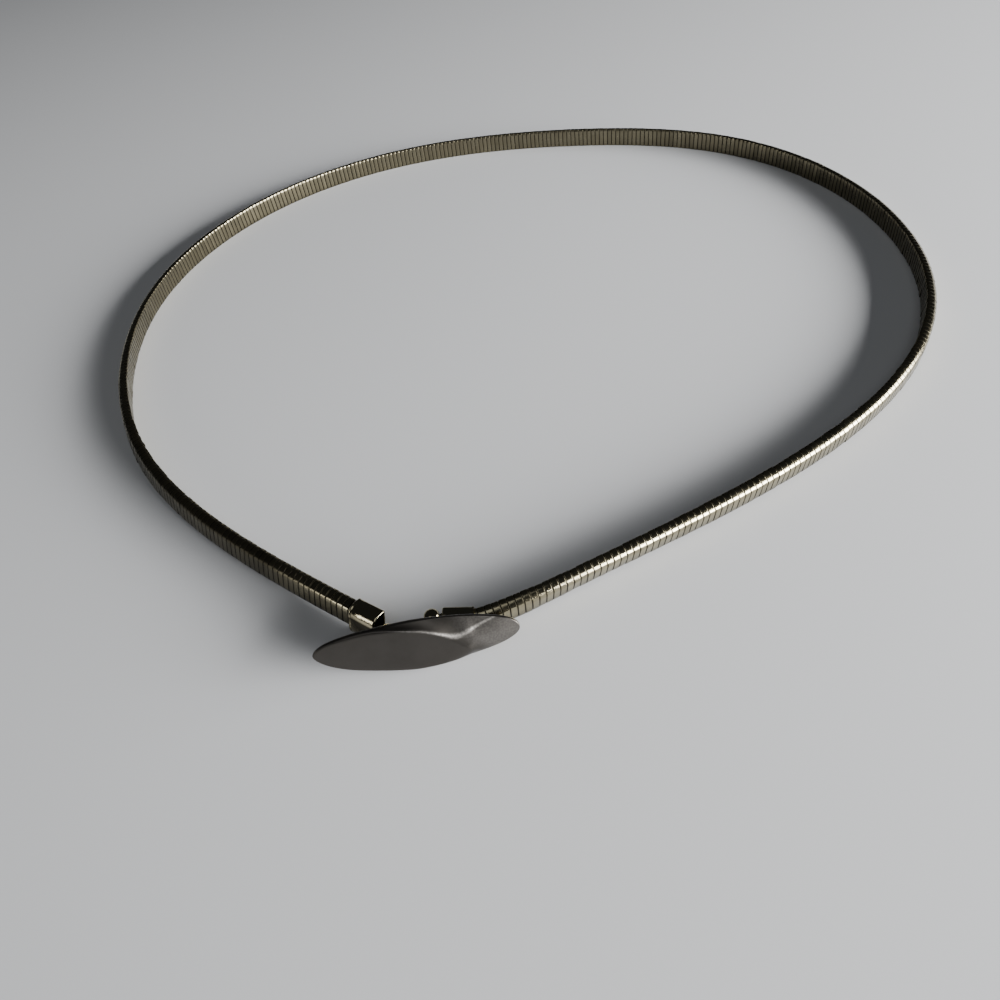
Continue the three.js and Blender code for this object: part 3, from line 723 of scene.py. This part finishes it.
def make_hook():
    """The strip's path in plan, at half its height, and its section: a rectangle of half size
    (t, h) with corners of radius r."""
    start, along, _, _ = cap_axes(CAP_LEFT)
    root = start + along * (CAP_LEFT["length"] - HOOK_ROOT)
    mouth = start + along * (CAP_LEFT["length"] + HOOK_LEAVE)
    bend = KEEPER["radius"] + HOOK_PLAY + GAP + HOOK_THICK / 2
    turn = arc(KEEPER["x"], KEEPER["y"], bend, bend, 80, -160, 30)
    corner = turn[:1] + (turn[:1] - turn[1:2]) * 2
    plan = np.vstack([root[:2], mouth[:2], corner, turn])
    plan = np.vstack([rounded_corners(plan[:4], HOOK_BEND)[:-1], turn[1:]])
    height = HOOK_BOTTOM + HOOK_HEIGHT / 2
    path = np.column_stack([plan, np.full(len(plan), height)])
    t, h, r = HOOK_THICK / 2, HOOK_HEIGHT / 2, HOOK_CORNER
    section = np.vstack([arc(t - r, h - r, r, r, 0, 90, 5),
                         arc(-t + r, h - r, r, r, 90, 180, 5),
                         arc(-t + r, -h + r, r, r, 180, 270, 5),
                         arc(t - r, -h + r, r, r, 270, 360, 5)])
    return sweep("hook_strip", path, section, (0.0, 0.0, 1.0))


hook_strip = make_hook()

# %% [markdown]
# ## The pin
#
# The pin is a turned piece with a domed head, and a small foot that keeps it in. The Spin tool
# could turn it. Here each row of its half outline becomes a ring round the axis, which is the
# same thing as a loft and comes out closed.

# %% Pin
PIN_POINTS = 40


def make_pin():
    """Rings round the pin's axis: each row (r, z) of the profile gives (r cos a, r sin a, z). The
    head's dome is a quarter ellipse."""
    foot = LUG_BOTTOM - GAP - TAB_THICK - GAP
    head = LUG_TOP + GAP + TAB_THICK + GAP
    rise = np.radians(np.linspace(8, 82, 9))
    profile = [(PIN["foot"] - 0.1, foot - 0.6), (PIN["foot"], foot - 0.5), (PIN["foot"], foot),
               (PIN["radius"], foot), (PIN["radius"], head), (PIN["head"] - 0.1, head),
               (PIN["head"], head + 0.08)]
    profile += [(PIN["head"] * np.cos(a), head + PIN["dome"] * np.sin(a)) for a in rise]
    a = np.linspace(0, 2 * np.pi, PIN_POINTS, endpoint=False)
    rings = [np.stack([PIN["x"] + r * np.cos(a), PIN["y"] + r * np.sin(a),
                       np.full(PIN_POINTS, z)], axis=1) for r, z in profile]
    return loft("pin_turned", np.array(rings), sharp=FITTING_SHARP)


pin_turned = make_pin()

# %% [markdown]
# ## Metals
#
# Nothing on the belt is one even colour: the plating has worn cloudy, and fine scratches break
# up the shine. An image could be painted for that, but noise read at the piece's own coordinates
# has no seams and stays fine close up. The wear is the same idea on every piece, so it is one
# node group with a colour, a roughness and a height coming out, and each metal gives it its own
# numbers.

# %% Numbers and nodes for the metals
# Dark colour for the grime in the seams and for the painted shade and painted dark reflections.
GRIME_AND_SHADE_COLOUR = (0.008, 0.007, 0.005, 1)
CLOUD_EDGE = (0.42, 0.68)    # the noise values between which bright metal turns to worn metal
WORN_DULLNESS, GRIME_AND_SHADE_DULLNESS = 0.12, 0.3
DRAWN_SCALE = 1600.0    # fine drawn lines, per metre


def new_node(tree, kind, **inputs):
    """A node of that kind with its inputs set by name; an underscore stands for a space."""
    node = tree.nodes.new(kind)
    for key, value in inputs.items():
        node.inputs[key.replace("_", " ")].default_value = value
    return node


def math_node(tree, operation):
    """A Math node for that operation."""
    node = tree.nodes.new("ShaderNodeMath")
    node.operation = operation
    return node


def colour_mix(tree):
    """A Mix node that blends colour A to colour B by Factor."""
    node = tree.nodes.new("ShaderNodeMix")
    node.data_type = "RGBA"
    return node


def wire(tree, *rows):
    """Links given as rows of (node, its output, next node, its input)."""
    for giver, output, taker, socket in rows:
        tree.links.new(giver.outputs[output], taker.inputs[socket])


print("cloud from", CLOUD_EDGE[0], "to", CLOUD_EDGE[1], "of the noise")

# %% [markdown]
# ## The wear group
#
# Inside the group a cloudy noise turns bright metal to worn metal and dulls it, grime and painted
# shade darken and dull it further, and a finer noise, stretched one way, draws the scratches. The
# group could hold the shader too, but it only hands out values, so each material keeps its own
# shader.

# %% Wear group


def make_wear_group():
    """Color is the cloud mix of Bright and Worn, times Tone, mixed to dark by the input for grime
    and painted shade. Roughness is Gloss + 0.12 cloud + 0.3 times that input, and Height is fine
    drawn noise times Scratch."""
    tree = bpy.data.node_groups.new("handled_metal", "ShaderNodeTree")
    sockets = tree.interface
    for name, kind in (("Bright", "NodeSocketColor"), ("Worn", "NodeSocketColor"),
                       ("Cloud Scale", "NodeSocketFloat"), ("Cloud Amount", "NodeSocketFloat"),
                       ("Gloss", "NodeSocketFloat"), ("Scratch", "NodeSocketFloat"),
                       ("Grime And Shade", "NodeSocketFloat"), ("Tone", "NodeSocketFloat")):
        sockets.new_socket(name, in_out="INPUT", socket_type=kind)
    for name, kind in (("Color", "NodeSocketColor"), ("Roughness", "NodeSocketFloat"),
                       ("Height", "NodeSocketFloat")):
        sockets.new_socket(name, in_out="OUTPUT", socket_type=kind)
    given = tree.nodes.new("NodeGroupInput")
    out = tree.nodes.new("NodeGroupOutput")
    place = tree.nodes.new("ShaderNodeTexCoord")
    cloud = new_node(tree, "ShaderNodeTexNoise", Detail=4.0, Roughness=0.6)
    cloud_mask = new_node(tree, "ShaderNodeMapRange", From_Min=CLOUD_EDGE[0],
                          From_Max=CLOUD_EDGE[1])
    amount = math_node(tree, "MULTIPLY")
    mix = colour_mix(tree)
    toned = tree.nodes.new("ShaderNodeHueSaturation")
    darkened_mix = colour_mix(tree)
    darkened_mix.inputs["B"].default_value = GRIME_AND_SHADE_COLOUR
    stretch = new_node(tree, "ShaderNodeMapping", Scale=(1.0, 6.0, 9.0), Rotation=(0.3, 0.5, 0.2))
    lines = new_node(tree, "ShaderNodeTexNoise", Scale=DRAWN_SCALE, Detail=3.0, Roughness=0.7)
    rough = math_node(tree, "MULTIPLY_ADD")
    rough.inputs[1].default_value = WORN_DULLNESS
    dull = math_node(tree, "MULTIPLY_ADD")
    dull.inputs[1].default_value = GRIME_AND_SHADE_DULLNESS
    height = math_node(tree, "MULTIPLY")
    wire(tree, (place, "Object", cloud, "Vector"), (given, "Cloud Scale", cloud, "Scale"),
         (cloud, "Fac", cloud_mask, "Value"), (cloud_mask, "Result", amount, 0),
         (given, "Cloud Amount", amount, 1), (amount, "Value", mix, "Factor"),
         (given, "Bright", mix, "A"), (given, "Worn", mix, "B"),
         (mix, "Result", toned, "Color"), (given, "Tone", toned, "Value"),
         (toned, "Color", darkened_mix, "A"), (given, "Grime And Shade", darkened_mix, "Factor"),
         (place, "Object", stretch, "Vector"), (stretch, "Vector", lines, "Vector"),
         (amount, "Value", rough, 0), (given, "Gloss", rough, 2), (given, "Grime And Shade", dull, 0),
         (rough, "Value", dull, 2), (lines, "Fac", height, 0), (given, "Scratch", height, 1),
         (darkened_mix, "Result", out, "Color"), (dull, "Value", out, "Roughness"),
         (height, "Value", out, "Height"))
    return tree


WEAR = make_wear_group()
print("wear group with", len(WEAR.nodes), "nodes")

# %% [markdown]
# ## One metal from the wear
#
# Every finish on the belt is bare metal, so they differ only in numbers. One function makes the
# material: the wear group feeds colour, roughness and bump, and the grime and painted shade on a
# mesh's points darken it. Metallic is the same all over, so it is set on the shader's own socket.

# %% A metal
SCRATCH_DEPTH = 0.00005    # metres


def metal(name, bright, worn, cloud_scale, cloud_amount, gloss, scratch=1.0, bump=0.2):
    """A metal whose colour, roughness and fine relief come from the wear group, darkened by grime
    and painted shade where the mesh's attribute for them says so."""
    material = bpy.data.materials.new(name)
    material.use_nodes = True
    tree = material.node_tree
    shader = tree.nodes["Principled BSDF"]
    shader.inputs["Metallic"].default_value = 1.0
    wear = tree.nodes.new("ShaderNodeGroup")
    wear.node_tree = WEAR
    given = {"Bright": (*bright, 1), "Worn": (*worn, 1), "Cloud Scale": cloud_scale,
             "Cloud Amount": cloud_amount, "Gloss": gloss, "Scratch": scratch, "Tone": 1.0}
    for key, value in given.items():
        wear.inputs[key].default_value = value
    grime_and_shade = tree.nodes.new("ShaderNodeAttribute")
    grime_and_shade.attribute_name = "grime_and_shade"
    bumps = new_node(tree, "ShaderNodeBump", Strength=bump, Distance=SCRATCH_DEPTH)
    wire(tree, (grime_and_shade, "Fac", wear, "Grime And Shade"), (wear, "Color", shader, "Base Color"),
         (wear, "Roughness", shader, "Roughness"), (wear, "Height", bumps, "Height"),
         (bumps, "Normal", shader, "Normal"))
    return material, wear, shader


# %% [markdown]
# ## Coil and mirror finish
#
# The coil is polished pale gold, dark in its seams, and dull where shade and a dark reflection are
# painted on. Each turn has a slightly different tone, as wound strip does. A noise could vary it,
# but would cut across the turns, so the coil reads the one tone that each turn carries. The caps,
# the hook and the pin are mirror bright, with painted shade in the caps' mouths and a painted dark
# reflection on the left cap's outer side.

# %% Coil and mirror finish


def make_coil_metal():
    """The polished metal with Tone between 0.8 and 1.16, as turn_tone goes from -3 to 3."""
    material, wear, _ = metal("polished_pale_gold", bright=(0.40, 0.36, 0.245),
                              worn=(0.27, 0.235, 0.15), cloud_scale=220.0, cloud_amount=0.5,
                              gloss=0.12)
    tree = material.node_tree
    tone = tree.nodes.new("ShaderNodeAttribute")
    tone.attribute_name = "turn_tone"
    value = new_node(tree, "ShaderNodeMapRange", From_Min=-3.0, From_Max=3.0,
                     To_Min=0.8, To_Max=1.16)
    wire(tree, (tone, "Fac", value, "Value"), (value, "Result", wear, "Tone"))
    return material


coil_metal = make_coil_metal()
mirror_metal, _, _ = metal("mirror_gold", bright=(0.46, 0.41, 0.28), worn=(0.32, 0.28, 0.18),
                           cloud_scale=260.0, cloud_amount=0.35, gloss=0.07)
print("materials:", coil_metal.name, "and", mirror_metal.name)

# %% [markdown]
# ## Satin finish of the leaf
#
# The leaf is satin and has gone a taupe grey. Along its crest a highlight is painted in small
# flecks, with faint painted light on the right part. An even stripe would look too smooth, so the
# painted highlight that the mesh carries is broken up by a fine noise before it mixes the two
# colours.

# %% Satin finish of the leaf
FLECK_SCALE = 2600.0    # flecks per metre
# Colour of the painted highlight along the crest.
HIGHLIGHT_COLOUR = (0.95, 0.90, 0.84, 1)


def make_leaf_metal():
    """The wear group's satin, mixed to the highlight colour by the painted highlight times a fleck
    noise.
    """
    material, wear, shader = metal("satin_taupe_gold", bright=(0.092, 0.085, 0.077),
                                   worn=(0.074, 0.068, 0.061), cloud_scale=160.0,
                                   cloud_amount=0.5, gloss=0.32, bump=0.3)
    tree = material.node_tree
    place = tree.nodes.new("ShaderNodeTexCoord")
    painted_highlight = tree.nodes.new("ShaderNodeAttribute")
    painted_highlight.attribute_name = "painted_highlight"
    fleck = new_node(tree, "ShaderNodeTexNoise", Scale=FLECK_SCALE, Detail=2.0, Roughness=0.6)
    fleck_mask = new_node(tree, "ShaderNodeMapRange", From_Min=0.40, From_Max=0.60, To_Min=0.6)
    strength = math_node(tree, "MULTIPLY")
    mix = colour_mix(tree)
    mix.inputs["B"].default_value = HIGHLIGHT_COLOUR
    wire(tree, (place, "Object", fleck, "Vector"), (fleck, "Fac", fleck_mask, "Value"),
         (fleck_mask, "Result", strength, 0), (painted_highlight, "Fac", strength, 1),
         (strength, "Value", mix, "Factor"), (wear, "Color", mix, "A"),
         (mix, "Result", shader, "Base Color"))
    return material


leaf_metal = make_leaf_metal()
print("material:", leaf_metal.name)

# %% [markdown]
# ## The floor
#
# The belt lies on a plain pale surface, which polished metal mirrors along its lower half. One
# large square is enough for that, with hardly any gloss, so that no lamp shows up in it. It isn't
# part of the belt.

# %% Floor
FLOOR_COLOUR = (0.62, 0.63, 0.65, 1)


def make_floor(size=3.0):
    """A square of that size in metres round the origin, at height 0."""
    corners = size / 2 * np.array([(-1, -1), (1, -1), (1, 1), (-1, 1)])
    mesh = bpy.data.meshes.new("floor")
    mesh.from_pydata([(x, y, 0.0) for x, y in corners], [], [(0, 1, 2, 3)])
    floor = bpy.data.objects.new("floor", mesh)
    bpy.context.scene.collection.objects.link(floor)
    material = bpy.data.materials.new("pale_surface")
    material.use_nodes = True
    shader = material.node_tree.nodes["Principled BSDF"]
    shader.inputs["Base Color"].default_value = FLOOR_COLOUR
    shader.inputs["Roughness"].default_value = 0.75
    shader.inputs["Specular IOR Level"].default_value = 0.2
    mesh.materials.append(material)
    return floor


floor = make_floor()
print("floor", [round(side, 1) for side in floor.dimensions], "m")

# %% [markdown]
# ## Light in a dim room
#
# Polished metal shows what is around it, so the dim room matters as much as the lights: it turns
# the upper edges of the turns nearly black. A low broad window at the right, a little towards the
# viewer, with a beam of 100 degrees, lights the belt. A small window far off at the left gives
# the left cap its stripe, and a large dim ceiling light softens the shadows. A picture of a room
# could light it all, but with three lamps each reflection can be placed.

# %% Lights
ROOM_COLOUR, ROOM_STRENGTH = (0.85, 0.92, 1.0, 1), 0.022


def area_light(name, place, target, size, power, colour, spread=180):
    """A rectangular soft light at place, turned towards target. Size is (width, height) in
    metres, power is in watts, and spread is its beam in degrees."""
    data = bpy.data.lights.new(name, "AREA")
    data.shape = "RECTANGLE"
    data.size, data.size_y = size
    data.energy = power
    data.color = colour
    data.spread = np.radians(spread)
    light = bpy.data.objects.new(name, data)
    bpy.context.scene.collection.objects.link(light)
    back = np.asarray(place, float) - np.asarray(target, float)
    back /= np.linalg.norm(back)
    right = np.cross(UP, back)
    right /= np.linalg.norm(right)
    matrix = np.eye(4)
    matrix[:3] = np.stack([right, np.cross(back, right), back, np.asarray(place)], axis=1)
    light.matrix_world = Matrix(matrix.tolist())
    return light


lights = [
    area_light("window", place=(0.81, -0.40, 0.22), target=(0.03, 0.0, 0.0), size=(1.06, 0.34),
               power=16.5, colour=(1.0, 0.995, 0.98), spread=100),
    area_light("far_window", place=(-1.03, -0.375, 0.30), target=(0, 0, 0), size=(0.15, 0.30),
               power=1.0, colour=(1.0, 0.99, 0.95)),
    area_light("ceiling_light", place=(-0.25, -0.60, 1.10), target=(0, 0, 0), size=(1.0, 0.7),
               power=1.8, colour=(0.96, 0.98, 1.0)),
]
world = bpy.data.worlds.new("dim_room")
world.use_nodes = True
background = world.node_tree.nodes["Background"]
background.inputs["Color"].default_value = ROOM_COLOUR
background.inputs["Strength"].default_value = ROOM_STRENGTH
bpy.context.scene.world = world
print("lights:", {light.name: round(light.data.energy, 2) for light in lights}, "W")

# %% [markdown]
# ## Hand over
#
# Each new piece stands for a CAD node, which it hides, rides on the one body, and gets the
# material of its finish.

# %% Replace the CAD nodes
PIECES = [
    (coil_turns, "coil_band", "pale_gold", coil_metal),
    (cap_left, "ferrule_left", "bright_gold", mirror_metal),
    (cap_right, "ferrule_right", "bright_gold", mirror_metal),
    (lug, "ferrule_right", "bright_gold", mirror_metal),
    (buckle_leaf, "buckle_plate", "satin_gold", leaf_metal),
    (tabs[0], "buckle_plate", "satin_gold", leaf_metal),
    (tabs[1], "buckle_plate", "satin_gold", leaf_metal),
    (keeper_bar, "buckle_plate", "satin_gold", leaf_metal),
    (pin_turned, "swivel_pin", "bright_gold", mirror_metal),
    (hook_strip, "hook", "bright_gold", mirror_metal),
]
for piece, node, slot, material in PIECES:
    piece.data.materials.append(material)
    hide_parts(node)
    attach(piece, "root")
